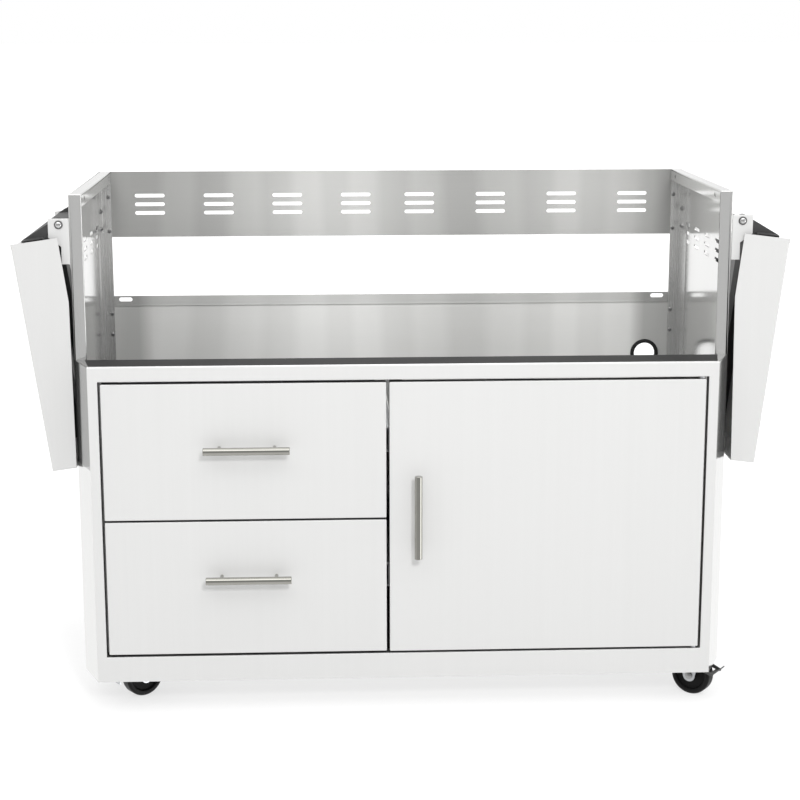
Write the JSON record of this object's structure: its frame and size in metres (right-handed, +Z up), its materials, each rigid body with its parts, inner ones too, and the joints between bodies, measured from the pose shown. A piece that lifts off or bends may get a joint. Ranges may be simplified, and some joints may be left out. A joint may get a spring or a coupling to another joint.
{
  "type": "grill cart",
  "caption": "Steel cart on casters with an open bay for a drop-in grill, drawers and a door below, and a folding shelf on each side.",
  "frame": {"origin": "on the floor, at the middle of the whole cart's bounding box", "axes": "+X to the cart's right as seen from the front, +Y to the back, +Z up; the front faces -Y"},
  "size_m": [1.3855, 0.656, 0.938],
  "materials": {
    "panel_steel": "stainless steel sheet brushed upright, soft sheen",
    "inner_steel": "stainless steel sheet brushed upright, duller inside",
    "front_steel": "fine brushed stainless steel sheet, nearly white",
    "ledge_black": "satin black coating on sheet steel",
    "handle_nickel": "satin nickel bar, brushed along its length",
    "zinc_steel": "bright zinc plate on pressed steel",
    "bolt_steel": "bright plated steel fasteners",
    "shelf_steel": "fine brushed stainless steel sheet",
    "shelf_dark": "dark coated steel channel",
    "black_rubber": "moulded black rubber",
    "wheel_black": "moulded black wheel, satin tread",
    "black_plastic": "moulded black plastic",
    "lever_steel": "dark pressed steel"
  },
  "bodies": {
    "cart": {"left_side_panel": "panel_steel", "right_side_panel": "panel_steel", "left_corner_post": "panel_steel", "right_corner_post": "panel_steel", "left_rear_post": "inner_steel", "right_rear_post": "inner_steel", "face_frame": "front_steel", "top_ledge": "ledge_black", "deck": "inner_steel", "rear_upper_panel": "inner_steel", "rear_lower_panel": "inner_steel", "rear_panel_screws": "bolt_steel", "hose_grommet": "black_rubber", "slide_panel": "inner_steel", "divider": "inner_steel", "slide_outer_rails": "zinc_steel", "door_pivot_pins": "bolt_steel", "door_catch": "black_plastic", "shelf_brackets": "shelf_steel", "bracket_screws": "bolt_steel", "shelf_pivot_bolts": "bolt_steel", "caster_plates": "zinc_steel", "caster_bolts": "bolt_steel"},
    "upper_drawer": {"upper_drawer_front": "front_steel", "upper_drawer_box": "zinc_steel", "upper_handle_bar": "handle_nickel", "upper_handle_posts": "handle_nickel", "upper_slide_inners": "zinc_steel"},
    "upper_slides": {"upper_slide_middles": "zinc_steel"},
    "lower_drawer": {"lower_drawer_front": "front_steel", "lower_drawer_box": "zinc_steel", "lower_handle_bar": "handle_nickel", "lower_handle_posts": "handle_nickel", "lower_slide_inners": "zinc_steel"},
    "lower_slides": {"lower_slide_middles": "zinc_steel"},
    "door": {"door_skin": "front_steel", "door_liner": "zinc_steel", "door_handle_bar": "handle_nickel", "door_handle_posts": "handle_nickel"},
    "left_shelf": {"left_shelf_pan": "shelf_steel", "left_shelf_rail": "shelf_dark", "left_shelf_stiffeners": "shelf_dark"},
    "right_shelf": {"right_shelf_pan": "shelf_steel", "right_shelf_rail": "shelf_dark", "right_shelf_stiffeners": "shelf_dark"},
    "front_left_swivel": {"front_left_fork": "zinc_steel", "caster_axles_front_left": "bolt_steel"},
    "front_right_swivel": {"front_right_fork": "zinc_steel", "caster_axles_front_right": "bolt_steel"},
    "rear_left_swivel": {"rear_left_fork": "zinc_steel", "caster_axles_rear_left": "bolt_steel"},
    "rear_right_swivel": {"rear_right_fork": "zinc_steel", "caster_axles_rear_right": "bolt_steel"},
    "front_left_roller": {"front_left_wheel": "wheel_black"},
    "front_right_roller": {"front_right_wheel": "wheel_black"},
    "rear_left_roller": {"rear_left_wheel": "wheel_black"},
    "rear_right_roller": {"rear_right_wheel": "wheel_black"},
    "left_brake": {"left_brake_lever": "lever_steel"},
    "right_brake": {"right_brake_lever": "lever_steel"}
  },
  "joints": [
    {"name": "upper_drawer_slide", "type": "slide", "parent": "cart", "child": "upper_drawer", "axis": [0, -1, 0], "range_m": [0, 0.4]},
    {"name": "upper_slides_travel", "type": "slide", "parent": "cart", "child": "upper_slides", "axis": [0, -1, 0], "range_m": [0, 0.2]},
    {"name": "lower_drawer_slide", "type": "slide", "parent": "cart", "child": "lower_drawer", "axis": [0, -1, 0], "range_m": [0, 0.4]},
    {"name": "lower_slides_travel", "type": "slide", "parent": "cart", "child": "lower_slides", "axis": [0, -1, 0], "range_m": [0, 0.2]},
    {"name": "door_hinge", "type": "hinge", "parent": "cart", "child": "door", "pos_m": [0.53, -0.284, 0.36125], "axis": [0, 0, 1], "range_deg": [0, 100]},
    {"name": "left_shelf_hinge", "type": "hinge", "parent": "cart", "child": "left_shelf", "pos_m": [-0.6083, 0.05, 0.8845], "axis": [0, 1, 0], "range_deg": [0, 98]},
    {"name": "right_shelf_hinge", "type": "hinge", "parent": "cart", "child": "right_shelf", "pos_m": [0.6083, 0.05, 0.8845], "axis": [0, -1, 0], "range_deg": [0, 96.8]},
    {"name": "front_left_swivel_turn", "type": "hinge", "parent": "cart", "child": "front_left_swivel", "pos_m": [-0.515, -0.215, 0.095], "axis": [0, 0, 1], "continuous": true},
    {"name": "front_left_roller_spin", "type": "hinge", "parent": "front_left_swivel", "child": "front_left_roller", "pos_m": [-0.48847, -0.19537, 0.038], "axis": [-0.5948, 0.8039, 0], "continuous": true},
    {"name": "left_brake_hinge", "type": "hinge", "parent": "front_left_swivel", "child": "left_brake", "pos_m": [-0.47883, -0.18823, 0.06], "axis": [-0.5948, 0.8039, 0], "range_deg": [0, 7.5]},
    {"name": "front_right_swivel_turn", "type": "hinge", "parent": "cart", "child": "front_right_swivel", "pos_m": [0.515, -0.215, 0.095], "axis": [0, 0, 1], "continuous": true},
    {"name": "front_right_roller_spin", "type": "hinge", "parent": "front_right_swivel", "child": "front_right_roller", "pos_m": [0.54153, -0.23463, 0.038], "axis": [0.5948, 0.8039, 0], "continuous": true},
    {"name": "right_brake_hinge", "type": "hinge", "parent": "front_right_swivel", "child": "right_brake", "pos_m": [0.55117, -0.24177, 0.06], "axis": [0.5948, 0.8039, 0], "range_deg": [0, 7.5]},
    {"name": "rear_left_swivel_turn", "type": "hinge", "parent": "cart", "child": "rear_left_swivel", "pos_m": [-0.515, 0.176, 0.095], "axis": [0, 0, 1], "continuous": true},
    {"name": "rear_left_roller_spin", "type": "hinge", "parent": "rear_left_swivel", "child": "rear_left_roller", "pos_m": [-0.50264, 0.2066, 0.038], "axis": [-0.9272, 0.3746, 0], "continuous": true},
    {"name": "rear_right_swivel_turn", "type": "hinge", "parent": "cart", "child": "rear_right_swivel", "pos_m": [0.515, 0.176, 0.095], "axis": [0, 0, 1], "continuous": true},
    {"name": "rear_right_roller_spin", "type": "hinge", "parent": "rear_right_swivel", "child": "rear_right_roller", "pos_m": [0.50264, 0.2066, 0.038], "axis": [-0.9272, -0.3746, 0], "continuous": true}
  ],
  "couplings": [
    {"joint": "upper_slides_travel", "follows": "upper_drawer_slide", "ratio": 0.5},
    {"joint": "lower_slides_travel", "follows": "lower_drawer_slide", "ratio": 0.5}
  ]
}
